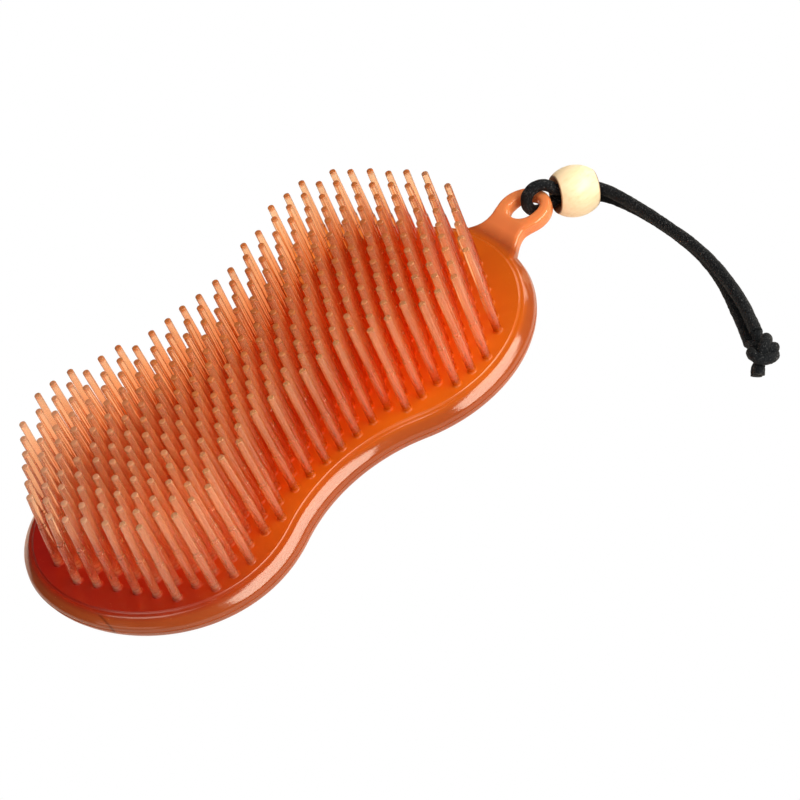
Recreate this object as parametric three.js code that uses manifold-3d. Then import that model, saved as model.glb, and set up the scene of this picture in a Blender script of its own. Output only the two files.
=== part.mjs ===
// Rubber curry comb for horses, lying on its back with the pins up, with its beaded wrist cord.
// Millimetres, +Z up, +X towards the hang tab. Every dimension below is measured from the middle
// of the body and from the level of the rim's lower edge. The whole comb is moved at the end, so
// that the origin is under the middle of the moulding's bounding box, on the surface it lies on.
import * as THREE from "three";
import { mergeVertices } from "three/addons/utils/BufferGeometryUtils.js";
import Module from "manifold-3d";

const wasm = await Module();
wasm.setup();

// ---- driving dimensions ----
const PITCH = 4.6; // distance between neighbouring pins, which stand in a triangular pattern
const LOBE_RADIUS = 33.6; // the two round ends of the peanut outline
const LOBE_OFFSET = 32.9; // centre of each lobe from the middle of the body
const WAIST_HALF_WIDTH = 25.5;
const BODY_THICKNESS = 6.2; // from the rim's lower edge to the pin plate
const BACK_DEPTH = 3.2; // the domed back reaches this far below the rim's lower edge
const BACK_DOME_WIDTH = 16.0; // the dome rises from its flat middle to the rim over this width
const SOLE_RADIUS = 2.6; // rounding between the domed back and the side wall
const SHOULDER_RADIUS = 3.0; // rounding between the side wall and the pin plate
const NOSE_BEND_START = -22.3; // the body curves upwards from here to the end away from the tab
const NOSE_BEND = 0.00378; // rise per square millimetre beyond that line

const PIN_TIP_HEIGHT = 32.0; // every pin ends on this one level
const PIN_BASE_RADIUS = 0.95;
const PIN_TIP_RADIUS = 0.65;
const PIN_SIDES = 5;
const PIN_ROOT_DEPTH = 1.0; // how far a pin's solid starts below the plate, before they are joined
const FIELD_RADIUS = 6.47 * PITCH; // round ends of the pin field
const FIELD_OFFSET = 6.3 * PITCH;
const FIELD_WAIST = 4.75 * PITCH; // half width of the pin field at the waist
const FIELD_WAIST_SPREAD = 28 * PITCH; // how slowly the field widens from the waist
const FIELD_ROWS = 7; // rows on each side of the middle one
const NOSE_LENGTH = 39.7; // from the start of the bend to the outermost pins
const NOSE_PIN_SPREAD = 1.8; // how far the outermost pins' feet are pushed out by the bend
const NOSE_PIN_LEAN = 1.6; // and how far their tips lean in
const NOSE_FOOT_SHIFT = 0.8; // the feet at the end also sit this much further along +Y
const NOSE_CORNER_REACH = 15.0; // the corner on the -Y side starts about this far from the middle
const NOSE_CORNER_LEAN = [0.7, -1.2]; // extra lean of the tips in that corner
const TAB_END_DROP = 0.0035; // shortening of the pins near the tab, per square millimetre
const TAB_END_START = 45.0;

const EYE_CENTRE = 75.6; // centre of the hang eye's round end from the middle of the body
const EYE_OUTER_RADIUS = 6.85;
const EYE_HOLE_RADIUS = 3.3;
const EYE_HOLE_STRETCH = 0.9; // the hole is this much longer than it is wide
const TAB_BOTTOM = 4.0; // lowest level of the eye
const TAB_THICKNESS = 3.4;
const TAB_BEVEL = 0.8;
const TAB_ROOT_DROP = 1.5; // the tab leaves the body this much lower than the eye lies
const TAB_DROP_START = 72.0; // the drop begins here, going towards the body
const TAB_DROP_LENGTH = 6.5;
const TAB_ROOT = [58.0, 10.5]; // half outline of the tab: where it leaves the body,
const TAB_NECK = [70.6, 5.6]; // and where it narrows to the eye
const TAB_FLARE = [65.2, 10.5, 66.4, 5.4]; // the two handles of the curve between them
const NECK_ANGLE = THREE.MathUtils.degToRad(113); // the round end begins here, from +X

const CORD_DIAMETER = 2.8;
const CORD_STEPS = 80;
const BEAD_RADIUS = 6.15;
const BEAD_STRETCH = 1.15; // the bead is this much longer along its bore than a ball
const BEAD_BORE_RADIUS = 3.5;
const BEAD_MOUTH_RADIUS = 4.25; // the bore flares out to this at both ends
const BEAD_MOUTH_DEPTH = 2.5;
const BEAD_CENTRE = [88.24, -3.47, 3.6];
const BORE_DIRECTION = [0.881, -0.353, -0.315];
const KNOT_CENTRE = [76.75, -74.2, 0.35];
const KNOT_HALF_SIZE = [4.3, 3.7, 3.5];
const KNOT_HEADING = Math.atan2(-0.43, -0.9);
const KNOT_END_LENGTH = 6.6; // from the knot's centre to the cut ends of the cord

// The moulding reaches from the far lobe to the outside of the eye.
const NOSE_X = -LOBE_OFFSET - LOBE_RADIUS;
const EYE_TIP_X = EYE_CENTRE + EYE_OUTER_RADIUS;
const ORIGIN_SHIFT = -(NOSE_X + EYE_TIP_X) / 2;

// ---- the cord's route ----
// One cord, folded in half at the eye. From the knot its lower strand runs over the ground, through
// the bead and under the eye's bar; it turns up inside the eye, and the upper strand comes back over
// the bar, through the bead and down to the knot.
const CORD_ROUTE = [
  [78.65, -68.3, -1.3],
  [82.3, -62.4, -1.7],
  [84.7, -58, -1.7],
  [87.7, -52.6, -1.7],
  [90.3, -46.6, -1.7],
  [92.7, -39, -1.7],
  [94.3, -29.5, -1.7],
  [95, -20, -1.7],
  [94.9, -12.5, -1.7],
  [94.2, -8, -1.35],
  [92.3, -4.8, -0.3],
  [89.6, -3.45, 1.45],
  [86.2, -2, 2.8],
  [83.9, -1, 3.2],
  [82.3, -0.35, 2.45],
  [80.6, 0.3, 2.2],
  [78.9, 0.8, 2.85],
  [77.85, 1.05, 4.4],
  [77.65, 1.05, 6.2],
  [78.2, 0.9, 7.9],
  [79.5, 0.5, 9.05],
  [81.2, -0.1, 9.4],
  [82.6, -0.8, 9],
  [83.5, -1.7, 8.1],
  [84.05, -2.3, 7.2],
  [85, -2.75, 6.35],
  [88.5, -4.1, 5],
  [91.8, -5.9, 3.3],
  [93.2, -8.6, 2.4],
  [93.8, -13, 1.7],
  [93.8, -20.2, 1.2],
  [93.05, -29.4, 1.2],
  [91.9, -38.9, 1.3],
  [89.9, -47.5, 1.4],
  [87.36, -55, 1.35],
  [84.8, -61.2, 0.95],
  [80.55, -69.1, 0.8],
];

// ---- helpers ----
function toSolid(geometry) {
  const bare = geometry.clone();
  bare.deleteAttribute("normal");
  bare.deleteAttribute("uv");
  const merged = mergeVertices(bare, 1e-5);
  return new wasm.Manifold(
    new wasm.Mesh({
      numProp: 3,
      vertProperties: new Float32Array(merged.attributes.position.array),
      triVerts: new Uint32Array(merged.index.array),
    }),
  );
}

function toGeometry(solid) {
  const mesh = solid.getMesh();
  const geometry = new THREE.BufferGeometry();
  geometry.setAttribute("position", new THREE.BufferAttribute(mesh.vertProperties, 3));
  geometry.setIndex(new THREE.BufferAttribute(mesh.triVerts, 1));
  geometry.computeVertexNormals();
  return geometry;
}

function join(geometries) {
  let whole = toSolid(geometries[0]);
  for (const geometry of geometries.slice(1)) {
    whole = whole.add(toSolid(geometry));
  }
  return toGeometry(whole);
}

function material(colour, roughness) {
  return new THREE.MeshStandardMaterial({ color: colour, roughness, metalness: 0 });
}

function noseRise(x) {
  const beyond = Math.max(0, NOSE_BEND_START - x);
  return NOSE_BEND * beyond * beyond;
}

// ---- the moulded body ----
// Half of the peanut outline, from the lobe beside the tab along one side to the other lobe's end.
// An inset keeps the arcs' centres, so the outlines of all heights match point by point.
function halfOutline(inset) {
  const waistRadius =
    (WAIST_HALF_WIDTH ** 2 + LOBE_OFFSET ** 2 - LOBE_RADIUS ** 2) / (2 * (LOBE_RADIUS - WAIST_HALF_WIDTH));
  const waistCentre = WAIST_HALF_WIDTH + waistRadius;
  const meeting = Math.atan2(waistCentre, LOBE_OFFSET);
  const lobeSteps = 26;
  const waistSteps = 14;
  const points = [];
  const lobe = LOBE_RADIUS - inset;
  for (let i = 0; i <= lobeSteps; i++) {
    const angle = ((Math.PI - meeting) * i) / lobeSteps;
    points.push([LOBE_OFFSET + lobe * Math.cos(angle), lobe * Math.sin(angle)]);
  }
  const waist = waistRadius + inset;
  for (let i = 1; i < waistSteps; i++) {
    const angle = meeting + ((Math.PI - 2 * meeting) * i) / waistSteps;
    points.push([waist * Math.cos(angle), waistCentre - waist * Math.sin(angle)]);
  }
  for (let i = lobeSteps; i >= 0; i--) {
    const angle = ((Math.PI - meeting) * i) / lobeSteps;
    points.push([-LOBE_OFFSET - lobe * Math.cos(angle), lobe * Math.sin(angle)]);
  }
  return points;
}

// Inset and height of each level, from the flat middle of the back over its dome and round the
// side wall to the pin plate.
function edgeProfile() {
  const levels = [];
  const domeSteps = 4;
  for (let i = 0; i < domeSteps; i++) {
    const along = i / domeSteps;
    levels.push([SOLE_RADIUS + BACK_DOME_WIDTH * (1 - along), -BACK_DEPTH * (1 - along ** 2.2)]);
  }
  const arcSteps = 3;
  for (let i = 0; i <= arcSteps; i++) {
    const angle = ((Math.PI / 2) * i) / arcSteps;
    levels.push([SOLE_RADIUS * (1 - Math.sin(angle)), SOLE_RADIUS * (1 - Math.cos(angle))]);
  }
  for (let i = 0; i <= arcSteps; i++) {
    const angle = ((Math.PI / 2) * i) / arcSteps;
    const height = BODY_THICKNESS - SHOULDER_RADIUS * (1 - Math.sin(angle));
    levels.push([SHOULDER_RADIUS * (1 - Math.cos(angle)), height]);
  }
  return levels;
}

function bodyShell() {
  const levels = edgeProfile();
  const half = halfOutline(0).length;
  const around = 2 * (half - 1);
  const positions = [];
  for (const [inset, height] of levels) {
    const side = halfOutline(inset);
    const mirrored = side.slice(1, -1).reverse();
    const loop = [...side, ...mirrored.map(([x, y]) => [x, -y])];
    for (const [x, y] of loop) {
      positions.push(x, y, height + noseRise(x));
    }
  }
  const faces = [];
  for (let level = 0; level + 1 < levels.length; level++) {
    for (let i = 0; i < around; i++) {
      const next = (i + 1) % around;
      const low = level * around;
      const high = low + around;
      faces.push(low + i, low + next, high + next, low + i, high + next, high + i);
    }
  }
  // The back and the plate are closed by strips that run straight across the comb.
  const top = (levels.length - 1) * around;
  for (let i = 0; i + 1 < half; i++) {
    const near = [(around - i) % around, around - i - 1];
    for (const [base, up] of [[0, false], [top, true]]) {
      const strips = [[i, i + 1, near[1]]];
      if (i > 0) {
        strips.push([i, near[1], near[0]]);
      }
      for (const [a, b, c] of strips) {
        if (new Set([a, b, c]).size === 3) {
          faces.push(base + a, base + (up ? b : c), base + (up ? c : b));
        }
      }
    }
  }
  const geometry = new THREE.BufferGeometry();
  geometry.setAttribute("position", new THREE.Float32BufferAttribute(positions, 3));
  geometry.setIndex(faces);
  return geometry;
}

// ---- the hang tab ----
// A flat strap that flares into the body at one end and has the round eye at the other.
function hangTab() {
  const neckX = EYE_CENTRE + EYE_OUTER_RADIUS * Math.cos(NECK_ANGLE);
  const neckY = EYE_OUTER_RADIUS * Math.sin(NECK_ANGLE);
  const [rootX, rootY] = TAB_ROOT;
  const [startX, startY, endX, endY] = TAB_FLARE;
  const outline = new THREE.Shape();
  outline.moveTo(rootX, rootY);
  outline.bezierCurveTo(startX, startY, endX, endY, ...TAB_NECK);
  outline.lineTo(neckX, neckY);
  outline.absarc(EYE_CENTRE, 0, EYE_OUTER_RADIUS, NECK_ANGLE, -NECK_ANGLE, true);
  outline.lineTo(TAB_NECK[0], -TAB_NECK[1]);
  outline.bezierCurveTo(endX, -endY, startX, -startY, rootX, -rootY);
  outline.closePath();
  const hole = new THREE.Path();
  hole.absarc(EYE_CENTRE, 0, EYE_HOLE_RADIUS, Math.PI / 2, (3 * Math.PI) / 2, false);
  hole.absarc(EYE_CENTRE + EYE_HOLE_STRETCH, 0, EYE_HOLE_RADIUS, -Math.PI / 2, Math.PI / 2, false);
  outline.holes.push(hole);
  const geometry = new THREE.ExtrudeGeometry(outline, {
    depth: TAB_THICKNESS - 2 * TAB_BEVEL,
    bevelThickness: TAB_BEVEL,
    bevelSize: TAB_BEVEL,
    bevelOffset: -TAB_BEVEL,
    bevelSegments: 2,
    curveSegments: 14,
  });
  geometry.translate(0, 0, TAB_BOTTOM + TAB_BEVEL);
  const position = geometry.attributes.position;
  for (let i = 0; i < position.count; i++) {
    const beyond = (TAB_DROP_START - position.getX(i)) / TAB_DROP_LENGTH;
    const drop = TAB_ROOT_DROP * THREE.MathUtils.smoothstep(beyond, 0, 1);
    position.setZ(i, position.getZ(i) - drop);
  }
  return geometry;
}

// ---- the pins ----
function inPinField(x, y) {
  if (Math.abs(x) < FIELD_OFFSET) {
    return Math.abs(y) <= FIELD_WAIST + (x * x) / FIELD_WAIST_SPREAD;
  }
  return Math.hypot(Math.abs(x) - FIELD_OFFSET, y) <= FIELD_RADIUS;
}

function pinPlaces() {
  const places = [];
  for (let row = -FIELD_ROWS; row <= FIELD_ROWS; row++) {
    const y = row * PITCH * Math.cos(Math.PI / 6);
    for (let column = -14; column <= 14; column++) {
      const x = (column + (row % 2 === 0 ? 0 : 0.5)) * PITCH;
      if (inPinField(x, y)) {
        places.push([x, y]);
      }
    }
  }
  return places;
}

// The bend of the nose tilts its pins, so that they stand nearly square to the curved plate. The
// pins at the near corner of the nose splay a little more.
function pinEnds(x, y) {
  const nose = Math.max(0, NOSE_BEND_START - x) / NOSE_LENGTH;
  const corner = (Math.max(0, -y) / NOSE_CORNER_REACH) ** 2 * nose ** 4;
  const foot = [x - NOSE_PIN_SPREAD * nose ** 2, y + NOSE_FOOT_SHIFT * nose ** 4];
  const [cornerX, cornerY] = NOSE_CORNER_LEAN.map((lean) => lean * corner);
  const tip = [x + NOSE_PIN_LEAN * nose ** 2 + cornerX, y + cornerY];
  const footHeight = BODY_THICKNESS - PIN_ROOT_DEPTH + noseRise(foot[0]);
  const tipHeight = PIN_TIP_HEIGHT - TAB_END_DROP * Math.max(0, x - TAB_END_START) ** 2;
  return { foot: [...foot, footHeight], tip: [...tip, tipHeight] };
}

function pin(x, y) {
  const { foot, tip } = pinEnds(x, y);
  const length = tip[2] - foot[2];
  const geometry = new THREE.CylinderGeometry(PIN_TIP_RADIUS, PIN_BASE_RADIUS, length, PIN_SIDES);
  geometry.rotateX(Math.PI / 2);
  geometry.translate(foot[0], foot[1], foot[2] + length / 2);
  const position = geometry.attributes.position;
  for (let i = 0; i < position.count; i++) {
    const along = (position.getZ(i) - foot[2]) / length;
    position.setX(i, position.getX(i) + along * (tip[0] - foot[0]));
    position.setY(i, position.getY(i) + along * (tip[1] - foot[1]));
  }
  return geometry;
}

function combBody() {
  const pins = pinPlaces().map(([x, y]) => pin(x, y));
  const mesh = new THREE.Mesh(join([bodyShell(), hangTab(), ...pins]), material(0xc8500f, 0.25));
  mesh.name = "comb_body";
  return mesh;
}

// ---- the wrist cord ----
function lanyardCord() {
  const curve = new THREE.CatmullRomCurve3(
    CORD_ROUTE.map((point) => new THREE.Vector3(...point)),
    false,
    "centripetal",
  );
  const sides = 8;
  const section = new THREE.Shape();
  for (let i = 0; i < sides; i++) {
    const angle = (2 * Math.PI * i) / sides;
    const place = [(CORD_DIAMETER / 2) * Math.cos(angle), (CORD_DIAMETER / 2) * Math.sin(angle)];
    if (i === 0) {
      section.moveTo(...place);
    } else {
      section.lineTo(...place);
    }
  }
  section.closePath();
  const geometry = new THREE.ExtrudeGeometry(section, { steps: CORD_STEPS, extrudePath: curve });
  const mesh = new THREE.Mesh(geometry, material(0x1c1c1d, 0.7));
  mesh.name = "lanyard_cord";
  return mesh;
}

// The overhand knot's outer shape, with the two cut ends of the cord leaving it side by side.
function lanyardKnot() {
  const lump = new THREE.SphereGeometry(1, 14, 10);
  lump.scale(...KNOT_HALF_SIZE);
  const ends = [];
  for (const side of [-1, 1]) {
    const end = new THREE.CylinderGeometry(CORD_DIAMETER / 2, CORD_DIAMETER / 2, KNOT_END_LENGTH, 8);
    end.rotateZ(Math.PI / 2);
    end.translate(KNOT_END_LENGTH / 2, side * 0.45 * CORD_DIAMETER, -1.2);
    ends.push(end);
  }
  const mesh = new THREE.Mesh(join([lump, ...ends]), material(0x1c1c1d, 0.7));
  mesh.rotation.z = KNOT_HEADING;
  mesh.position.set(...KNOT_CENTRE);
  mesh.name = "lanyard_knot";
  return mesh;
}

function woodenBead() {
  const arcSteps = 12;
  const rim = Math.acos(BEAD_MOUTH_RADIUS / BEAD_RADIUS);
  const profile = [];
  for (let i = 0; i <= arcSteps; i++) {
    const angle = -rim + (2 * rim * i) / arcSteps;
    const along = BEAD_STRETCH * BEAD_RADIUS * Math.sin(angle);
    profile.push(new THREE.Vector2(BEAD_RADIUS * Math.cos(angle), along));
  }
  const boreEnd = BEAD_STRETCH * BEAD_RADIUS * Math.sin(rim) - BEAD_MOUTH_DEPTH;
  profile.push(new THREE.Vector2(BEAD_BORE_RADIUS, boreEnd));
  profile.push(new THREE.Vector2(BEAD_BORE_RADIUS, -boreEnd));
  profile.push(profile[0].clone());
  const geometry = new THREE.LatheGeometry(profile, 28);
  const mesh = new THREE.Mesh(geometry, material(0xf0dfb4, 0.5));
  const bore = new THREE.Vector3(...BORE_DIRECTION).normalize();
  mesh.quaternion.setFromUnitVectors(new THREE.Vector3(0, 1, 0), bore);
  mesh.position.set(...BEAD_CENTRE);
  mesh.name = "wooden_bead";
  return mesh;
}

const curryComb = new THREE.Group();
curryComb.position.set(ORIGIN_SHIFT, 0, BACK_DEPTH);
curryComb.add(combBody());
curryComb.add(lanyardCord());
curryComb.add(lanyardKnot());
curryComb.add(woodenBead());

export default curryComb;
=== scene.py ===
import bpy, bmesh, math, random
from mathutils import Matrix, Vector, noise
from mathutils.geometry import delaunay_2d_cdt


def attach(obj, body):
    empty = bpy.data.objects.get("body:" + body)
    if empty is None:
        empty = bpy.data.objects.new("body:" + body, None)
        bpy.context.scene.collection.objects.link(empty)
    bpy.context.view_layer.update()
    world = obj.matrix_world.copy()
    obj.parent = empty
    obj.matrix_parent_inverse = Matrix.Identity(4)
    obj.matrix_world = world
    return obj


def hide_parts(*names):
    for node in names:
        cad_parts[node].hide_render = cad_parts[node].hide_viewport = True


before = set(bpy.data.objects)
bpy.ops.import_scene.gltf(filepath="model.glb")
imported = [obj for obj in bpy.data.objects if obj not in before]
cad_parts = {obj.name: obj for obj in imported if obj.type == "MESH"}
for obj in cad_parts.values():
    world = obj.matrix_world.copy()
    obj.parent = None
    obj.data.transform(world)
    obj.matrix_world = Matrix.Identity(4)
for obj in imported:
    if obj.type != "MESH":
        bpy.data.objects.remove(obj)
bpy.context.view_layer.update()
rng = random.Random(7)
MM = 0.001

# ---- dimensions, mm, from the middle of the body and the level of the rim's lower edge ----
ORIGIN_SHIFT = -7.975
BACK_DEPTH, DOME_WIDTH = 3.2, 16.0
PITCH = 4.6
LOBE_RADIUS, LOBE_OFFSET, WAIST_HALF_WIDTH = 33.6, 32.9, 25.5
THICKNESS = 6.2
SOLE_RADIUS = 2.6  # rounding between the domed back and the side wall
NOSE_BEND_START, NOSE_BEND, NOSE_LENGTH = -22.3, 0.00378, 39.7
PIN_TIP = 32.0
PIN_STEP = 0.45  # how far up a pin its step is
PIN_SIDES = 12
COLLAR = 1.65  # radius of the small collar round each pin's foot
PIN_CUT = 1.3  # the plate is open inside this radius of a pin
FIELD_RADIUS, FIELD_OFFSET = 6.47 * PITCH, 6.3 * PITCH
FIELD_WAIST, FIELD_WAIST_SPREAD = 4.75 * PITCH, 28 * PITCH
FIELD_ROWS, FIELD_COLUMNS = 7, 14  # on each side of the middle one
NOSE_PIN_SPREAD, NOSE_PIN_LEAN = 1.8, 1.6
NOSE_FOOT_SHIFT, NOSE_CORNER_REACH, NOSE_CORNER_LEAN = 0.8, 15.0, (0.7, -1.2)
TAB_END_DROP, TAB_END_START = 0.0035, 45.0
EYE_X, EYE_OUTER, EYE_HOLE, EYE_STRETCH = 75.6, 6.85, 3.3, 0.9
TAB_BOTTOM, TAB_THICKNESS, TAB_ROOT_DROP = 4.0, 3.4, 1.5
TAB_DROP_START, TAB_DROP_LENGTH = 72.0, 6.5
TAB_CURVE = ((58.0, 10.5), (65.2, 10.5), (66.4, 5.4), (70.6, 5.6))  # root, two handles, neck
NECK_ANGLE = math.radians(113)  # the eye's round end begins here, from +X
CORD_D = 2.8
BEAD_R, BEAD_STRETCH, BEAD_BORE, BEAD_MOUTH, BEAD_MOUTH_DEPTH = 6.15, 1.15, 3.5, 4.45, 2.5
MARK_X = -68.8  # the mould mark on the rim
RIM_WIDTH = 4.0
PINS_END, TAB_LOOK_START = 66.0, 65.5  # where the looks change along the comb
BEAD_AT = Vector((88.24, -3.47, 3.6))
BEAD_DIR = Vector((0.881, -0.353, -0.315)).normalized()
KNOT_AT = Vector((76.75, -74.2, 0.35))
KNOT_WIDTH, KNOT_PINCH = 0.85, 0.9  # against its height, and against the free cord
VIEW_RIGHT = Vector((0.73024, -0.61012, -0.3074))  # the camera's axes
VIEW_FORWARD = Vector((0.26411, 0.66708, -0.6966))
VIEW_FROM, LENS = (-101.56, -325.21, 324.52), 93.56
WARM = (1.0, 0.87, 0.70)  # colour of every lamp

CORD_ROUTE = [
    (78.65, -68.3, -1.3), (82.3, -62.4, -1.7), (84.7, -58, -1.7), (87.7, -52.6, -1.7),
    (90.3, -46.6, -1.7), (92.7, -39, -1.7), (94.3, -29.5, -1.7), (95, -20, -1.7),
    (94.9, -12.5, -1.7), (94.2, -8, -1.35), (92.3, -4.8, -0.3), (89.6, -3.45, 1.45),
    (86.2, -2, 2.8), (83.9, -1, 3.2), (82.3, -0.35, 2.45), (80.6, 0.3, 2.2), (78.9, 0.8, 2.85),
    (77.85, 1.05, 4.4), (77.65, 1.05, 6.2), (78.2, 0.9, 7.9), (79.5, 0.5, 9.05), (81.2, -0.1, 9.4),
    (82.6, -0.8, 9), (83.5, -1.7, 8.1), (84.05, -2.3, 7.2), (85, -2.75, 6.35), (88.5, -4.1, 5),
    (91.8, -5.9, 3.3), (93.2, -8.6, 2.4), (93.8, -13, 1.7), (93.8, -20.2, 1.2), (93.05, -29.4, 1.2),
    (91.9, -38.9, 1.3), (89.9, -47.5, 1.4), (87.36, -55, 1.35), (84.8, -61.2, 0.95),
    (80.55, -69.1, 0.8),
]


def place(x, y, z):
    """A point given in mm from the body's middle and the rim's lower edge, in metres."""
    return Vector(((x + ORIGIN_SHIFT) * MM, y * MM, (z + BACK_DEPTH) * MM))


def rise(x):
    """How far the body curves upwards at its end away from the eye."""
    beyond = max(0.0, NOSE_BEND_START - x)
    return NOSE_BEND * beyond * beyond


def mesh_object(name, bm):
    """A new object in the scene with the mesh that was built in bm."""
    mesh = bpy.data.meshes.new(name)
    bm.to_mesh(mesh)
    bm.free()
    ob = bpy.data.objects.new(name, mesh)
    bpy.context.scene.collection.objects.link(ob)
    return ob


# ---- node helpers ----
def new_material(name):
    m = bpy.data.materials.new(name)
    m.use_nodes = True
    m.node_tree.nodes.clear()
    return m, m.node_tree


def node(nt, kind, **settings):
    n = nt.nodes.new(kind)
    for key, value in settings.items():
        if hasattr(n, key):
            setattr(n, key, value)
        else:
            n.inputs[key].default_value = value
    return n


def wire(nt, *pairs):
    for out, inp in pairs:
        nt.links.new(out, inp)


def ramp(nt, source, stops):
    """A colour or grey ramp; a stop's value is one number or three."""
    r = nt.nodes.new("ShaderNodeValToRGB")
    while len(r.color_ramp.elements) < len(stops):
        r.color_ramp.elements.new(0.5)
    for element, (position, colour) in zip(r.color_ramp.elements, stops):
        element.position = position
        if not hasattr(colour, "__len__"):
            colour = (colour, colour, colour)
        element.color = (*colour, 1)
    nt.links.new(source, r.inputs["Fac"])
    return r.outputs["Color"]


def mixed(nt, blend, factor, a, b):
    m = nt.nodes.new("ShaderNodeMix")
    m.data_type = "RGBA"
    m.blend_type = blend
    for value, socket in ((factor, m.inputs[0]), (a, m.inputs[6]), (b, m.inputs[7])):
        if isinstance(value, bpy.types.NodeSocket):
            nt.links.new(value, socket)
        elif hasattr(value, "__len__"):
            socket.default_value = (*value, 1)
        else:
            socket.default_value = value
    return m.outputs[2]


def mm_coords(nt):
    """Object coordinates in millimetres."""
    tc = nt.nodes.new("ShaderNodeTexCoord")
    scale = node(nt, "ShaderNodeVectorMath", operation="SCALE")
    scale.inputs["Scale"].default_value = 1000.0
    nt.links.new(tc.outputs["Object"], scale.inputs[0])
    return scale.outputs[0]


def noise_tex(nt, coords, scale, detail=3.0, roughness=0.55):
    n = node(nt, "ShaderNodeTexNoise")
    n.inputs["Scale"].default_value = scale
    n.inputs["Detail"].default_value = detail
    n.inputs["Roughness"].default_value = roughness
    nt.links.new(coords, n.inputs["Vector"])
    return n.outputs["Fac"]


def bump(nt, height, strength, distance_mm, normal=None):
    b = node(nt, "ShaderNodeBump")
    b.inputs["Strength"].default_value = strength
    b.inputs["Distance"].default_value = distance_mm * MM
    nt.links.new(height, b.inputs["Height"])
    if normal is not None:
        nt.links.new(normal, b.inputs["Normal"])
    return b.outputs["Normal"]


def span(nt, value, start, end, low, high):
    """The value's way from start to end, as a number from low to high."""
    n = node(nt, "ShaderNodeMapRange")
    for name, number in (("From Min", start), ("From Max", end), ("To Min", low), ("To Max", high)):
        n.inputs[name].default_value = number
    nt.links.new(value, n.inputs["Value"])
    return n.outputs[0]


# ---- materials ----
def mould_mark(nt, parts, rim):
    """The strength of the mould's hairline mark, which crosses the rim near the bent end."""
    line = ramp(nt, span(nt, parts.outputs["X"], MARK_X - 5, MARK_X + 5, 0.0, 1.0), [
        (0.465, 0.0),
        (0.50, 0.8),
        (0.535, 0.0),
    ])
    low = span(nt, parts.outputs["Y"], -12.0, -14.0, 0.0, 1.0)
    line = mixed(nt, "MULTIPLY", 1.0, line, low)
    return mixed(nt, "MULTIPLY", 1.0, line, ramp(nt, rim, [(0.35, 0.0), (0.5, 1.0)]))


def plate_colour(nt, parts, rim, front):
    """Deep orange by the eye, with painted shade that makes it darker and redder towards the bent end, a
    painted glow on its front edge, and painted light that makes it paler at the edge.
    """
    along = node(nt, "ShaderNodeMath", operation="MULTIPLY_ADD")
    along.inputs[1].default_value = 1 / 130
    along.inputs[2].default_value = 0.56
    nt.links.new(parts.outputs["X"], along.inputs[0])
    # Painted shade: the plate is darker and redder towards the bent end, where the pins stand thickest and
    # shade it.
    colour = ramp(nt, along.outputs[0], [
        (0.05, (0.24, 0.006, 0.0002)),
        (0.40, (0.42, 0.036, 0.0005)),
        (0.95, (0.52, 0.110, 0.002)),
    ])
    # Light that runs through the moulding makes its front edge glow from the waist onwards.
    waist = span(nt, parts.outputs["X"], -52.0, -22.0, 0.0, 1.0)
    glow = node(nt, "ShaderNodeMath", operation="MULTIPLY")
    wire(nt, (front, glow.inputs[0]), (waist, glow.inputs[1]))
    colour = mixed(nt, "MIX", glow.outputs[0], colour, (0.60, 0.130, 0.002))
    # Painted light: the rim, which the pins don't shade, is painted paler; the palest tone is the tab's own
    # colour.
    lit_edge = ramp(nt, rim, [(0.12, 0.0), (0.40, 0.30), (0.56, 0.85), (0.80, 1.0)])
    lit_edge_colour = ramp(nt, rim, [(0.80, (0.36, 0.080, 0.020)), (1.0, (0.75, 0.26, 0.095))])
    colour = mixed(nt, "MIX", lit_edge, colour, lit_edge_colour)
    return mixed(nt, "MIX", mould_mark(nt, parts, rim), colour, (0.13, 0.022, 0.004))


def pin_colour(nt, parts, height, pale_lit_front):
    """Pale above, with painted shade that deepens to the plate's orange at the foot, a dark ring at the step
    and at the tip, and painted light on the front pins and those towards the bent end.
    """
    # Painted shade: the lower part of each pin, shaded by its neighbours, is painted a deeper orange.
    colour = ramp(nt, height, [
        (0.0, (0.60, 0.10, 0.002)),
        (0.15, (0.80, 0.20, 0.008)),
        (0.40, (0.93, 0.38, 0.08)),
        (0.43, (0.66, 0.17, 0.03)),
        (0.455, (0.98, 0.46, 0.17)),
        (0.75, (1.0, 0.65, 0.38)),
        (0.955, (1.0, 0.76, 0.55)),
        (0.985, (0.66, 0.24, 0.08)),
    ])
    # Painted light: the front pins, which stand in full light, are painted paler.
    colour = mixed(nt, "MIX", pale_lit_front, colour, (1.0, 0.62, 0.36))
    # Painted light: pins towards the bent end are painted paler, for the bright floor seen through them.
    far = span(nt, parts.outputs["X"], -25.0, -70.0, 0.0, 0.6)
    return mixed(nt, "MIX", far, colour, (0.99, 0.78, 0.64))


def dusty(nt, mm, colour):
    """The colour with cloudy patches and pale specks of dust."""
    shade = ramp(nt, noise_tex(nt, mm, 0.045, 3.0), [(0.3, (0.82, 0.74, 0.70)), (0.7, (1.0, 1.0, 1.0))])
    colour = mixed(nt, "MULTIPLY", 1.0, colour, shade)
    speck = ramp(nt, noise_tex(nt, mm, 2.6, 2.0, 0.7), [(0.72, 0.0), (0.77, 0.8)])
    return mixed(nt, "MIX", speck, colour, (0.85, 0.36, 0.16))


def clearness(nt, height, pale_lit_front):
    """How much light goes through: little in the plate, most of it in the pins."""
    clear = ramp(nt, height, [
        (0.0, 0.10),
        (0.06, 0.7),
        (0.2, 0.95),
        (0.6, 0.94),
        (0.8, 0.88),
        (0.96, 0.88),
        (0.99, 0.5),
    ])
    return mixed(nt, "MIX", pale_lit_front, clear, (0.85, 0.85, 0.85))


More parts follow.
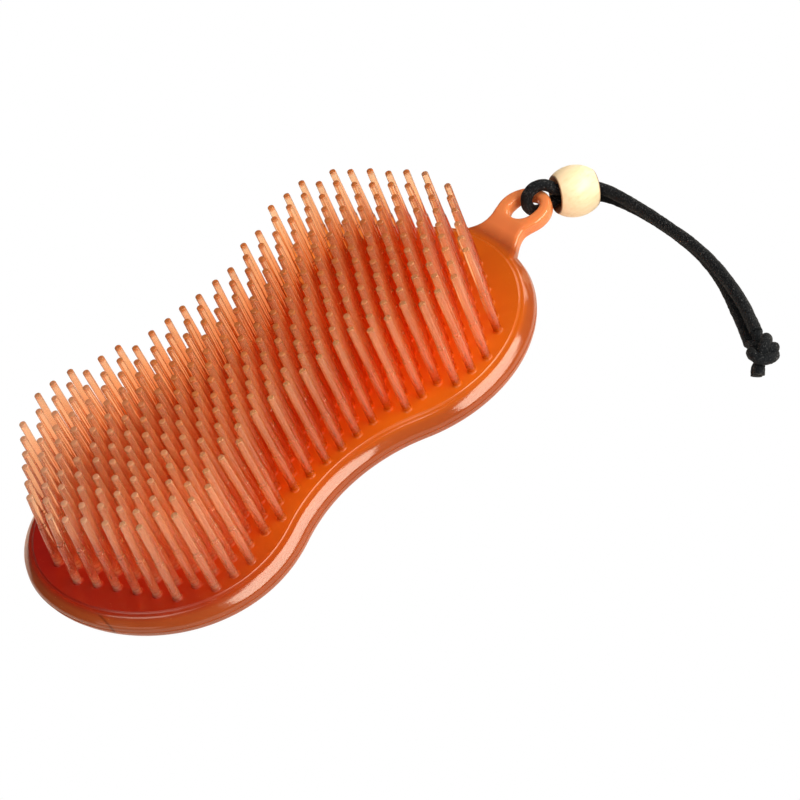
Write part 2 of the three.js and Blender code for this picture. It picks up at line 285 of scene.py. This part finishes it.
def gloss(nt, mm, height, rim):
    """Roughness: smeared and glossy on the rim and the pins, dull on the plate between them."""
    rough = ramp(nt, noise_tex(nt, mm, 0.22, 4.0), [(0.35, 0.08), (0.7, 0.18)])
    dull = mixed(nt, "MIX", ramp(nt, rim, [(0.2, 1.0), (0.5, 0.0)]), rough, (0.32, 0.32, 0.32))
    return mixed(nt, "MIX", ramp(nt, height, [(0.0, 0.0), (0.05, 1.0)]), dull, rough)


def tinted_shadow(nt, surface, height):
    """The surface, which lets tinted light through to what lies behind it."""
    clear = node(nt, "ShaderNodeBsdfTransparent")
    tint = ramp(nt, height, [(0.0, (0.66, 0.24, 0.05)), (0.3, (0.95, 0.64, 0.38)), (1.0, (0.98, 0.78, 0.56))])
    nt.links.new(tint, clear.inputs["Color"])
    path = node(nt, "ShaderNodeLightPath")
    mix = node(nt, "ShaderNodeMixShader")
    wire(nt, (path.outputs["Is Shadow Ray"], mix.inputs["Fac"]), (surface, mix.inputs[1]),
         (clear.outputs[0], mix.inputs[2]))
    return mix.outputs[0]


def elastomer_material():
    """Amber rubber; the comb's "pin_height" and "rim" tell its parts from each other."""
    m, nt = new_material("amber_elastomer")
    out = node(nt, "ShaderNodeOutputMaterial")
    p = node(nt, "ShaderNodeBsdfPrincipled")
    mm = mm_coords(nt)
    parts = node(nt, "ShaderNodeSeparateXYZ")
    nt.links.new(mm, parts.inputs[0])
    height = node(nt, "ShaderNodeAttribute", attribute_name="pin_height").outputs["Fac"]
    rim = node(nt, "ShaderNodeAttribute", attribute_name="rim").outputs["Fac"]
    front = span(nt, parts.outputs["Y"], -6.0, -24.0, 0.0, 0.75)
    # Painted light: where the front pins are painted paler, as lit.
    pale_lit_front = mixed(nt, "MULTIPLY", 1.0, ramp(nt, height, [(0.06, 0.0), (0.2, 1.0)]), front)
    base = mixed(nt, "MIX", ramp(nt, height, [(0.0, 0.0), (0.05, 1.0)]),
                 plate_colour(nt, parts, rim, front), pin_colour(nt, parts, height, pale_lit_front))
    nt.links.new(dusty(nt, mm, base), p.inputs["Base Color"])
    nt.links.new(clearness(nt, height, pale_lit_front), p.inputs["Transmission Weight"])
    nt.links.new(gloss(nt, mm, height, rim), p.inputs["Roughness"])
    p.inputs["IOR"].default_value = 1.38
    p.inputs["Specular IOR Level"].default_value = 0.7
    p.inputs["Coat Weight"].default_value = 0.25
    p.inputs["Coat Roughness"].default_value = 0.12
    p.inputs["Subsurface Weight"].default_value = 0.08
    p.inputs["Subsurface Radius"].default_value = (1.0, 0.3, 0.08)
    p.inputs["Subsurface Scale"].default_value = 0.003
    ripple = bump(nt, noise_tex(nt, mm, 0.45, 2.0), 0.18, 0.10)
    fine = bump(nt, noise_tex(nt, mm, 3.5, 3.0), 0.12, 0.05, ripple)
    nt.links.new(fine, p.inputs["Normal"])
    nt.links.new(tinted_shadow(nt, p.outputs[0], height), out.inputs["Surface"])
    return m


def wood_material():
    m, nt = new_material("pale_wood")
    out = node(nt, "ShaderNodeOutputMaterial")
    p = node(nt, "ShaderNodeBsdfPrincipled")
    mm = mm_coords(nt)
    turn = node(nt, "ShaderNodeMapping")
    turn.inputs["Rotation"].default_value = (0.3, 0.0, math.atan2(0.8, 0.6))
    turn.inputs["Scale"].default_value = (0.10, 1.0, 1.0)
    nt.links.new(mm, turn.inputs["Vector"])
    grain = noise_tex(nt, turn.outputs[0], 1.1, 4.0, 0.55)
    pores = noise_tex(nt, turn.outputs[0], 5.0, 3.0, 0.6)
    base = ramp(nt, grain, [(0.25, (0.82, 0.67, 0.43)), (0.5, (0.88, 0.76, 0.54)), (0.75, (0.91, 0.81, 0.62))])
    dark = ramp(nt, pores, [(0.60, (1, 1, 1)), (0.78, (0.86, 0.76, 0.62))])
    base = mixed(nt, "MULTIPLY", 0.7, base, dark)
    bore_shade = node(nt, "ShaderNodeAttribute", attribute_name="bore_shade").outputs["Fac"]
    # Painted shade: the bore and the edges of its mouths are darkened.
    base = mixed(nt, "MIX", ramp(nt, bore_shade, [(0.25, 0.0), (0.8, 0.9)]), base, (0.16, 0.07, 0.03))
    nt.links.new(base, p.inputs["Base Color"])
    nt.links.new(ramp(nt, grain, [(0.3, 0.50), (0.7, 0.38)]), p.inputs["Roughness"])
    p.inputs["Coat Weight"].default_value = 0.2
    p.inputs["Coat Roughness"].default_value = 0.25
    nt.links.new(bump(nt, pores, 0.12, 0.05), p.inputs["Normal"])
    nt.links.new(p.outputs[0], out.inputs["Surface"])
    return m


def cord_material():
    m, nt = new_material("waxed_cord")
    out = node(nt, "ShaderNodeOutputMaterial")
    p = node(nt, "ShaderNodeBsdfPrincipled")
    mm = mm_coords(nt)
    fuzz = noise_tex(nt, mm, 1.5, 4.0, 0.75)
    speck = noise_tex(nt, mm, 3.0, 3.0, 0.7)
    base = ramp(nt, fuzz, [
        (0.42, (0.0015, 0.0018, 0.0025)),
        (0.60, (0.005, 0.0058, 0.0075)),
        (0.74, (0.026, 0.029, 0.036)),
    ])
    light = ramp(nt, speck, [(0.58, 0.0), (0.70, 0.75)])
    base = mixed(nt, "MIX", light, base, (0.17, 0.185, 0.21))
    nt.links.new(base, p.inputs["Base Color"])
    nt.links.new(ramp(nt, fuzz, [(0.3, 0.50), (0.7, 0.75)]), p.inputs["Roughness"])
    p.inputs["Specular IOR Level"].default_value = 0.25
    p.inputs["Specular Tint"].default_value = (0.62, 0.78, 1.0, 1.0)
    first = bump(nt, fuzz, 1.0, 0.40)
    nt.links.new(bump(nt, speck, 0.7, 0.12, first), p.inputs["Normal"])
    nt.links.new(p.outputs[0], out.inputs["Surface"])
    return m


# ---- camera: the photograph's viewing angle ----
def build_camera():
    data = bpy.data.cameras.new("camera")
    data.sensor_width = 36.0
    data.lens = LENS
    data.clip_start = 0.02
    data.clip_end = 20.0
    cam = bpy.data.objects.new("camera", data)
    bpy.context.scene.collection.objects.link(cam)
    right = VIEW_RIGHT.normalized()
    forward = VIEW_FORWARD.normalized()
    right = (right - forward * right.dot(forward)).normalized()
    up = right.cross(forward)
    turn = Matrix((right, up, -forward)).transposed()
    cam.matrix_world = Matrix.Translation(place(*VIEW_FROM)) @ turn.to_4x4()
    bpy.context.scene.camera = cam


# ---- cord ----
def smooth_route(points, per_span):
    """Centripetal Catmull-Rom curve through the points."""
    ends = [points[0] * 2 - points[1], *points, points[-1] * 2 - points[-2]]
    curve = []
    for i in range(len(points) - 1):
        p = ends[i:i + 4]
        t = [0.0]
        for a, b in zip(p, p[1:]):
            t.append(t[-1] + math.sqrt((b - a).length))
        for k in range(per_span):
            u = t[1] + (t[2] - t[1]) * k / per_span
            a = [p[j] * ((t[j + 1] - u) / (t[j + 1] - t[j])) + p[j + 1] * ((u - t[j]) / (t[j + 1] - t[j]))
                 for j in range(3)]
            b = [a[j] * ((t[j + 2] - u) / (t[j + 2] - t[j])) + a[j + 1] * ((u - t[j]) / (t[j + 2] - t[j]))
                 for j in range(2)]
            curve.append(b[0] * ((t[2] - u) / (t[2] - t[1])) + b[1] * ((u - t[1]) / (t[2] - t[1])))
    curve.append(points[-1])
    return curve


def even_steps(curve, step):
    """The same line with points a step apart."""
    total = sum((b - a).length for a, b in zip(curve, curve[1:]))
    count = max(2, round(total / step))
    gap = total / count
    points, walked, wanted = [curve[0]], 0.0, gap
    for a, b in zip(curve, curve[1:]):
        span = (b - a).length
        while walked + span >= wanted - 1e-9 and len(points) < count:
            points.append(a.lerp(b, (wanted - walked) / span))
            wanted += gap
        walked += span
    points.append(curve[-1])
    return points, total


def tube(name, line, radius, sides, lumps):
    """A closed, slightly lumpy tube of mesh along a line."""
    bm = bmesh.new()
    side = (line[1] - line[0]).normalized().orthogonal().normalized()
    rings = []
    for i, point in enumerate(line):
        ahead = line[min(i + 1, len(line) - 1)] - line[max(i - 1, 0)]
        turned = ahead.normalized()
        side = (side - turned * side.dot(turned)).normalized()
        other = turned.cross(side)
        ring = []
        for k in range(sides):
            angle = 2 * math.pi * k / sides
            out = side * math.cos(angle) + other * math.sin(angle)
            spot = point + out * radius
            rough = noise.noise(spot * 0.8) + 0.6 * noise.noise(spot * 2.3) + 0.5 * noise.noise(spot * 5.0)
            r = radius * (1 + lumps * rough)
            ring.append(bm.verts.new(place(*(point + out * r))))
        rings.append(ring)
    for i in range(len(rings) - 1):
        for k in range(sides):
            n = (k + 1) % sides
            face = bm.faces.new((rings[i][k], rings[i][n], rings[i + 1][n], rings[i + 1][k]))
            face.smooth = True
    for ring, flip in ((rings[0], True), (rings[-1], False)):
        centre = sum((v.co for v in ring), Vector()) / sides
        middle = bm.verts.new(centre)
        for k in range(sides):
            a, b = ring[k], ring[(k + 1) % sides]
            bm.faces.new((b, a, middle) if flip else (a, b, middle))
    return mesh_object(name, bm)


def build_cord(material):
    """The wrist cord, with its middle line and length."""
    curve = smooth_route([Vector(p) for p in CORD_ROUTE], 12)
    line, length = even_steps(curve, 0.3)
    ob = tube("waxed_cord", line, CORD_D / 2, 20, lumps=0.05)
    ob.data.materials.append(material)
    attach(ob, "lanyard")
    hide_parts("lanyard_cord")
    return ob, [place(*p) for p in line], length * MM


def build_knot(material):
    """The overhand knot: the strands wrap round each other and end in two short cut stubs."""
    right = VIEW_RIGHT.normalized()
    toward = -VIEW_FORWARD.normalized()
    up = toward.cross(right)
    first, last = Vector(CORD_ROUTE[0]), Vector(CORD_ROUTE[-1])

    def at(a, b, c):
        return KNOT_AT + right * KNOT_WIDTH * a + up * b + toward * c

    wraps = [
        [last, at(0.2, 1.7, -2.7), at(-0.8, 0.5, -1.6), at(-2.5, 0.5, -0.2), at(-2.3, -0.2, 1.5),
         at(-1.0, -0.9, 2.4), at(0.9, -0.8, 2.4), at(2.5, -0.2, 1.3), at(2.7, 0.4, -0.4),
         at(1.4, 0.2, -1.5), at(0.0, -1.0, -0.9), at(-0.9, -2.3, -0.3), at(-1.35, -3.2, -0.1),
         at(-1.5, -4.5, 0.1)],
        [first, at(-1.3, 1.7, -2.7), at(-0.4, 1.2, -1.5), at(1.2, 0.9, -1.7), at(2.6, 1.3, -0.8),
         at(2.7, 1.6, 0.6), at(1.5, 1.2, 1.2), at(0.6, 0.2, 0.4)],
        [at(0.4, 1.2, -1.7), at(1.3, 2.9, -1.2), at(1.0, 3.5, 0.2), at(0.4, 2.3, 1.6),
         at(-0.2, 0.7, 1.7), at(-0.5, -0.9, 0.9), at(-0.9, -2.2, 0.9), at(-1.0, -3.2, 1.2),
         at(-1.1, -4.2, 1.4)],
    ]
    parts = []
    for i, wrap in enumerate(wraps):
        curve = smooth_route(wrap, 14)
        line, _ = even_steps(curve, 0.3)
        parts.append(tube(f"knot_strand_{i}", line, CORD_D / 2 * KNOT_PINCH, 20, lumps=0.07))
    for ob in parts:
        ob.data.materials.append(material)
        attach(ob, "lanyard")
    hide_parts("lanyard_knot")
    return parts


def build_bead(material):
    """The wooden bead, turned round its bore; "lip" marks the bore and its mouths, where painted shade darkens
    the wood.
    """
    profile = []
    rim = math.acos(BEAD_MOUTH / BEAD_R)
    for i in range(33):
        angle = -rim + 2 * rim * i / 32
        profile.append((BEAD_R * math.cos(angle), BEAD_STRETCH * BEAD_R * math.sin(angle)))
    end = profile[-1][1]
    depth = BEAD_MOUTH_DEPTH
    flare = [(BEAD_MOUTH - 0.12, end - 0.14), (BEAD_BORE + 0.1, end - 0.8 * depth), (BEAD_BORE, end - depth)]
    profile += flare + [(r, -h) for r, h in reversed(flare)]
    side = BEAD_DIR.orthogonal().normalized()
    other = BEAD_DIR.cross(side)
    bm = bmesh.new()
    sides = 64
    rings = []
    for r, h in profile:
        ring = []
        for k in range(sides):
            angle = 2 * math.pi * k / sides
            spot = BEAD_AT + BEAD_DIR * h + (side * math.cos(angle) + other * math.sin(angle)) * r
            ring.append(bm.verts.new(place(*spot)))
        rings.append(ring)
    for i in range(len(rings)):
        a, b = rings[i], rings[(i + 1) % len(rings)]
        for k in range(sides):
            n = (k + 1) % sides
            bm.faces.new((a[k], a[n], b[n], b[k])).smooth = True
    bmesh.ops.recalc_face_normals(bm, faces=bm.faces[:])
    ob = mesh_object("bead", bm)
    # Painted shade: how far each point lies in the bore or at the edge of its mouths.
    bore_shades = ob.data.attributes.new("bore_shade", "FLOAT", "POINT")
    for v, bore_shade in zip(ob.data.vertices, bore_shades.data):
        offset = (v.co - place(*BEAD_AT)) / MM
        along = offset.dot(BEAD_DIR)
        inside = math.hypot((offset - BEAD_DIR * along).length, along / BEAD_STRETCH) < BEAD_R - 0.1
        bore_shade.value = 1.0 if inside else max(0.0, 1 - (end - abs(along)) / 0.5)
    ob.data.materials.append(material)
    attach(ob, "bead")
    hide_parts("wooden_bead")
    return ob


# ---- comb ----
def waist_arc():
    """Radius of the waist's arc, which meets both lobes, and its centre's distance from the axis."""
    reach = WAIST_HALF_WIDTH ** 2 + LOBE_OFFSET ** 2 - LOBE_RADIUS ** 2
    radius = reach / (2 * (LOBE_RADIUS - WAIST_HALF_WIDTH))
    return radius, WAIST_HALF_WIDTH + radius


def edge_inset(x, y):
    """How far a point lies inside the peanut outline."""
    x, y = abs(x), abs(y)
    waist_r, centre = waist_arc()
    if x * centre < (centre - y) * LOBE_OFFSET:
        return math.hypot(x, centre - y) - waist_r
    return LOBE_RADIUS - math.hypot(x - LOBE_OFFSET, y)


def half_outline(inset):
    """The outline's half on the +Y side, moved inwards, from the eye's end to the bent end."""
    waist_r, centre = waist_arc()
    meeting = math.atan2(centre, LOBE_OFFSET)
    lobe_steps, waist_steps = 80, 40
    lobe, waist = LOBE_RADIUS - inset, waist_r + inset
    points = []
    for i in range(lobe_steps + 1):
        a = (math.pi - meeting) * i / lobe_steps
        points.append((LOBE_OFFSET + lobe * math.cos(a), lobe * math.sin(a)))
    for i in range(1, waist_steps):
        a = meeting + (math.pi - 2 * meeting) * i / waist_steps
        points.append((waist * math.cos(a), centre - waist * math.sin(a)))
    for i in range(lobe_steps, -1, -1):
        a = (math.pi - meeting) * i / lobe_steps
        points.append((-LOBE_OFFSET - lobe * math.cos(a), lobe * math.sin(a)))
    return points


def outline(inset):
    side = half_outline(inset)
    return side + [(x, -y) for x, y in reversed(side[1:-1])]


def edge_profile():
    """Inset and height of each level from the flat middle of the back to the plate."""
    levels = []
    # the domed back
    for i in range(14):
        t = i / 14
        levels.append((SOLE_RADIUS + DOME_WIDTH * (1 - t), -BACK_DEPTH * (1 - t ** 2.2)))
    # the rounding into the side wall, and the thin parting line on it
    for i in range(7):
        a = math.pi / 2 * i / 6
        levels.append((SOLE_RADIUS * (1 - math.sin(a)), 2.1 * (1 - math.cos(a))))
    levels += [(-0.02, 2.3), (-0.1, 2.38), (-0.1, 2.5), (0.02, 2.58)]
    # the rounding onto the sloping shoulder, which is slightly crowned
    for i in range(6):
        a = math.radians(9 * i)
        levels.append((0.03 + 1.75 * (1 - math.cos(a)), 2.95 + 1.7 * math.sin(a)))
    for i in range(1, 8):
        t = i / 7
        crown = 0.04 * math.sin(math.pi * t)
        levels.append((0.54 + 1.5 * t - crown, 4.15 + 1.55 * t + crown))
    # the rounding onto the plate
    for i in range(1, 6):
        a = math.radians(45 + 9 * i)
        inset = 2.04 + 1.1 * (math.sin(a) - 0.707) / 0.293
        levels.append((inset, 5.70 + 0.5 * (0.707 - math.cos(a)) / 0.707))
    return levels + [(3.3, THICKNESS)]


def in_pin_field(x, y):
    if abs(x) < FIELD_OFFSET:
        return abs(y) <= FIELD_WAIST + x * x / FIELD_WAIST_SPREAD
    return math.hypot(abs(x) - FIELD_OFFSET, y) <= FIELD_RADIUS


def pin_places():
    """The triangular grid of pins, in rows along the length."""
    places = []
    for row in range(-FIELD_ROWS, FIELD_ROWS + 1):
        for column in range(-FIELD_COLUMNS, FIELD_COLUMNS + 1):
            x = (column + (0 if row % 2 == 0 else 0.5)) * PITCH
            y = row * PITCH * math.cos(math.pi / 6)
            if in_pin_field(x, y):
                places.append((x, y))
    return places


def pin_ends(x, y):
    """Where a pin's foot and tip stand, and its height. The bend of the nose tilts it."""
    nose = max(0.0, NOSE_BEND_START - x) / NOSE_LENGTH
    corner = (max(0.0, -y) / NOSE_CORNER_REACH) ** 2 * nose ** 4
    foot = Vector((x - NOSE_PIN_SPREAD * nose ** 2, y + NOSE_FOOT_SHIFT * nose ** 4))
    tip_x = x + NOSE_PIN_LEAN * nose ** 2 + NOSE_CORNER_LEAN[0] * corner
    tip = Vector((tip_x, y + NOSE_CORNER_LEAN[1] * corner))
    return foot, tip, PIN_TIP - TAB_END_DROP * max(0.0, x - TAB_END_START) ** 2


def pin_rings(x, y):
    """Radius, height and middle of each ring of one pin, from the plate to its tip."""
    low, high, top = pin_ends(x, y)
    foot = THICKNESS + rise(low.x)
    length = top - foot + rng.uniform(-0.22, 0.12)
    step = PIN_STEP * (PIN_TIP - THICKNESS) * (0.97 + 0.06 * rng.random())
    step = min(step, length * 0.62)
    lean = Vector((rng.gauss(0, 0.16), rng.gauss(0, 0.16)))
    root = [(1.38, 0.0), (1.20, 0.03), (1.06, 0.16), (1.0, 0.42), (0.98, step * 0.5)]
    shoulder = [(0.96, step - 0.25), (0.95, step - 0.08), (0.90, step), (0.83, step + 0.04),
                (0.81, step + 0.16)]
    end = [(0.80, (step + length) / 2), (0.79, length - 0.3), (0.76, length - 0.12),
           (0.66, length - 0.03), (0.46, length)]
    out = []
    for r, h in root + shoulder + end:
        t = h / length
        middle = low.lerp(high, t) + lean * t * t
        out.append((r, foot + h, middle.x, middle.y))
    return out


def circle(x, y, radius):
    """The corners of one ring of a pin."""
    turns = [2 * math.pi * k / PIN_SIDES for k in range(PIN_SIDES)]
    return [(x + radius * math.cos(a), y + radius * math.sin(a)) for a in turns]


def side_wall(bm, levels):
    """The skin from the flat middle of the back up to the edge of the pin plate, as loops."""
    loops = []
    for inset, height in levels:
        loops.append([bm.verts.new(place(x, y, height + rise(x))) for x, y in outline(inset)])
    around = len(loops[0])
    for low, high in zip(loops, loops[1:]):
        for i in range(around):
            n = (i + 1) % around
            bm.faces.new((low[i], low[n], high[n], high[i])).smooth = True
    return loops


def close_back(bm, back):
    """Strips across the flat middle of the back."""
    around = len(back)
    for i in range(around // 2):
        ring = [back[i], back[(around - i) % around], back[(around - i - 1) % around], back[i + 1]]
        distinct = []
        for v in ring:
            if v not in distinct:
                distinct.append(v)
        if len(distinct) > 2:
            bm.faces.new(distinct).smooth = True


def pin_finder(feet):
    """A test for whether a point lies under one of the pins."""
    cells = {}
    for x, y in feet:
        cells.setdefault((round(x / PITCH), round(y / PITCH)), []).append((x, y))

    def under_pin(px, py):
        column, row = round(px / PITCH), round(py / PITCH)
        for i in (-1, 0, 1):
            for j in (-1, 0, 1):
                for x, y in cells.get((column + i, row + j), []):
                    if math.hypot(px - x, py - y) < PIN_CUT:
                        return True
        return False

    return under_pin


def pin_plate(bm, rim, inset):
    """The plate between the pins. Returns each pin's rings and the corners of its lowest one."""
    around = len(rim)
    spots = [Vector(p) for p in outline(inset)]
    known = list(rim)
    edges = [(i, (i + 1) % around) for i in range(around)]
    pins, feet = [], []
    for spot in pin_places():
        rings = pin_rings(*spot)
        foot_radius, _, x, y = rings[0]
        for reach in (COLLAR, foot_radius):
            first = len(spots)
            corners = circle(x, y, reach)
            base = [bm.verts.new(place(px, py, THICKNESS + rise(px))) for px, py in corners]
            spots += [Vector(corner) for corner in corners]
            known += base
            edges += [(first + k, first + (k + 1) % PIN_SIDES) for k in range(PIN_SIDES)]
        pins.append((rings, base))
        feet.append((x, y))
    verts, _, faces, origin, _, _ = delaunay_2d_cdt(spots, edges, [], 0, 1e-7)
    corner_of = [known[sources[0]] for sources in origin]
    under_pin = pin_finder(feet)
    for face in faces:
        x = sum(verts[i].x for i in face) / len(face)
        y = sum(verts[i].y for i in face) / len(face)
        if edge_inset(x, y) > inset and not under_pin(x, y):
            bm.faces.new([corner_of[i] for i in face]).smooth = True
    return pins


def raise_pin(bm, rings, base):
    """One pin's skin, from its lowest ring to the cap on its tip."""
    below = base
    for r, h, x, y in rings[1:]:
        ring = [bm.verts.new(place(px, py, h)) for px, py in circle(x, y, r)]
        for k in range(PIN_SIDES):
            n = (k + 1) % PIN_SIDES
            bm.faces.new((below[k], below[n], ring[n], ring[k])).smooth = True
        below = ring
    _, h, x, y = rings[-1]
    top = bm.verts.new(place(x, y, h + 0.02))
    for k in range(PIN_SIDES):
        bm.faces.new((below[k], below[(k + 1) % PIN_SIDES], top)).smooth = True


def comb_shell():
    """The plate with its rounded edge and every pin, as one closed skin."""
    bm = bmesh.new()
    levels = edge_profile()
    loops = side_wall(bm, levels)
    close_back(bm, loops[0])
    for rings, base in pin_plate(bm, loops[-1], levels[-1][0]):
        raise_pin(bm, rings, base)
    bmesh.ops.recalc_face_normals(bm, faces=bm.faces[:])
    return mesh_object("comb", bm)


def tab_loops():
    """The tab's outline and the hole of its eye, as lists of corners."""
    root, start, end, neck = TAB_CURVE
    side = []
    for i in range(13):
        t = i / 12
        u = 1 - t
        parts = (u ** 3, 3 * u * u * t, 3 * u * t * t, t ** 3)
        curve = (root, start, end, neck)
        side.append(tuple(sum(part * spot[k] for part, spot in zip(parts, curve)) for k in range(2)))
    for i in range(17):
        a = NECK_ANGLE * (1 - i / 16)
        side.append((EYE_X + EYE_OUTER * math.cos(a), EYE_OUTER * math.sin(a)))
    hole = []
    for i in range(40):
        a = 2 * math.pi * i / 40
        stretch = EYE_STRETCH if math.cos(a) > 0 else 0
        hole.append((EYE_X + stretch + EYE_HOLE * math.cos(a), EYE_HOLE * math.sin(a)))
    return side + [(x, -y) for x, y in reversed(side[:-1])], hole


def tab_slab():
    """The tab as a flat slab with rounded edges, in the plane z = 0."""
    rounding = 1.05
    curve = bpy.data.curves.new("tab", "CURVE")
    curve.dimensions = "2D"
    curve.fill_mode = "BOTH"
    curve.extrude = (TAB_THICKNESS / 2 - rounding) * MM
    curve.bevel_depth = rounding * MM
    curve.bevel_resolution = 4
    curve.offset = -rounding * MM
    for loop in tab_loops():
        spline = curve.splines.new("POLY")
        spline.points.add(len(loop) - 1)
        for point, (x, y) in zip(spline.points, loop):
            point.co = ((x + ORIGIN_SHIFT) * MM, y * MM, 0, 1)
        spline.use_cyclic_u = True
    ob = bpy.data.objects.new("tab_curve", curve)
    bpy.context.scene.collection.objects.link(ob)
    graph = bpy.context.evaluated_depsgraph_get()
    mesh = bpy.data.meshes.new_from_object(ob.evaluated_get(graph))
    bpy.data.objects.remove(ob)
    bm = bmesh.new()
    bm.from_mesh(mesh)
    bmesh.ops.remove_doubles(bm, verts=bm.verts[:], dist=1e-6)
    bmesh.ops.triangulate(bm, faces=bm.faces[:])
    return mesh_object("tab", bm)


def hang_tab():
    """The flat strap with its round eye, remeshed into one smooth body and set on the comb."""
    tab = tab_slab()
    remesh = tab.modifiers.new("remesh", "REMESH")
    remesh.mode = "VOXEL"
    remesh.voxel_size = 0.25 * MM
    relax = tab.modifiers.new("relax", "SMOOTH")
    relax.factor = 0.5
    relax.iterations = 5
    applied(tab)
    middle = (TAB_BOTTOM + TAB_THICKNESS / 2 + BACK_DEPTH) * MM
    for v in tab.data.vertices:
        x = v.co.x / MM - ORIGIN_SHIFT
        t = min(1.0, max(0.0, (TAB_DROP_START - x) / TAB_DROP_LENGTH))
        v.co.z += middle - TAB_ROOT_DROP * t * t * (3 - 2 * t) * MM
    return tab


def applied(ob):
    """Replaces an object's mesh by what its modifiers make of it."""
    graph = bpy.context.evaluated_depsgraph_get()
    mesh = bpy.data.meshes.new_from_object(ob.evaluated_get(graph))
    ob.modifiers.clear()
    ob.data = mesh


def mark_regions(mesh):
    """Stores how far up a pin each point is, and how near it is to the rim or the tab."""
    heights = mesh.attributes.new("pin_height", "FLOAT", "POINT")
    rims = mesh.attributes.new("rim", "FLOAT", "POINT")
    for v, height, rim in zip(mesh.vertices, heights.data, rims.data):
        x, y = v.co.x / MM - ORIGIN_SHIFT, v.co.y / MM
        z = v.co.z / MM - BACK_DEPTH
        foot = THICKNESS + rise(x) + 0.13
        height.value = max(0.0, (z - foot) / (PIN_TIP - foot)) if x < PINS_END else 0.0
        near_edge = min(1.0, max(0.0, 1 - edge_inset(x, y) / RIM_WIDTH))
        on_tab = min(1.0, 0.8 + 0.2 * (x - TAB_LOOK_START) / 3)
        rim.value = 0.8 * near_edge if x < TAB_LOOK_START else on_tab


def build_comb(material):
    comb = comb_shell()
    tab = hang_tab()
    join = comb.modifiers.new("join", "BOOLEAN")
    join.operation = "UNION"
    join.solver = "MANIFOLD"
    join.object = tab
    applied(comb)
    bpy.data.objects.remove(tab)
    mark_regions(comb.data)
    for face in comb.data.polygons:
        face.use_smooth = True
    comb.data.materials.clear()
    comb.data.materials.append(material)
    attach(comb, "comb")
    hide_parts("comb_body")


# ---- stage ----
def build_stage():
    """A pale floor that looks plain white to the camera and lights the comb from below."""
    m, nt = new_material("pale_floor")
    out = node(nt, "ShaderNodeOutputMaterial")
    p = node(nt, "ShaderNodeBsdfPrincipled")
    tone = noise_tex(nt, mm_coords(nt), 0.004, 2.0)
    nt.links.new(ramp(nt, tone, [(0.3, (0.93, 0.93, 0.93)), (0.7, (0.95, 0.95, 0.95))]), p.inputs["Base Color"])
    p.inputs["Roughness"].default_value = 0.9
    p.inputs["Specular IOR Level"].default_value = 0.1
    white = node(nt, "ShaderNodeEmission")
    white.inputs["Strength"].default_value = 1.0
    path = node(nt, "ShaderNodeLightPath")
    mix = node(nt, "ShaderNodeMixShader")
    wire(nt, (path.outputs["Is Camera Ray"], mix.inputs["Fac"]), (p.outputs[0], mix.inputs[1]),
         (white.outputs[0], mix.inputs[2]), (mix.outputs[0], out.inputs["Surface"]))
    mesh = bpy.data.meshes.new("floor")
    size, level = 4.0, -0.0001
    corners = [(-size, -size, level), (size, -size, level), (size, size, level), (-size, size, level)]
    mesh.from_pydata(corners, [], [(0, 1, 2, 3)])
    mesh.materials.append(m)
    floor = bpy.data.objects.new("floor", mesh)
    bpy.context.scene.collection.objects.link(floor)


def area_light(name, at, size, power):
    """A soft rectangular lamp aimed at the middle of the comb."""
    data = bpy.data.lights.new(name, "AREA")
    data.shape = "RECTANGLE"
    data.size, data.size_y = size
    data.energy = power
    data.color = WARM
    ob = bpy.data.objects.new(name, data)
    ob.location = at
    ob.rotation_euler = (-Vector(at)).to_track_quat("-Z", "Y").to_euler()
    bpy.context.scene.collection.objects.link(ob)


def build_world():
    """A dim surround for the light, which is plain white to the camera."""
    world = bpy.data.worlds.new("world")
    bpy.context.scene.world = world
    world.use_nodes = True
    nt = world.node_tree
    nt.nodes.clear()
    dim = node(nt, "ShaderNodeBackground", Color=(1, 1, 1, 1), Strength=0.06)
    bright = node(nt, "ShaderNodeBackground", Color=(1, 1, 1, 1), Strength=1.0)
    path = node(nt, "ShaderNodeLightPath")
    mix = node(nt, "ShaderNodeMixShader")
    out = node(nt, "ShaderNodeOutputWorld")
    wire(nt, (path.outputs["Is Camera Ray"], mix.inputs["Fac"]), (dim.outputs[0], mix.inputs[1]),
         (bright.outputs[0], mix.inputs[2]), (mix.outputs[0], out.inputs["Surface"]))


def build_lights():
    area_light("front_softbox", (0.50, -0.72, 0.60), (1.2, 0.46), 17.5)
    area_light("left", (-0.75, -0.30, 0.33), (0.60, 0.30), 0.8)
    area_light("overhead", (-0.35, -0.15, 1.1), (0.6, 0.6), 5.0)
    area_light("right", (1.0, 0.25, 0.35), (0.4, 0.4), 2.0)
    view = bpy.context.scene.view_settings
    view.view_transform = "Standard"
    view.look = "None"
    bpy.context.scene.cycles.use_denoising = True


build_camera()
cord_look = cord_material()
cord, cord_path, cord_length = build_cord(cord_look)
knot = build_knot(cord_look)
bead = build_bead(wood_material())
build_comb(elastomer_material())
build_stage()
build_world()
build_lights()
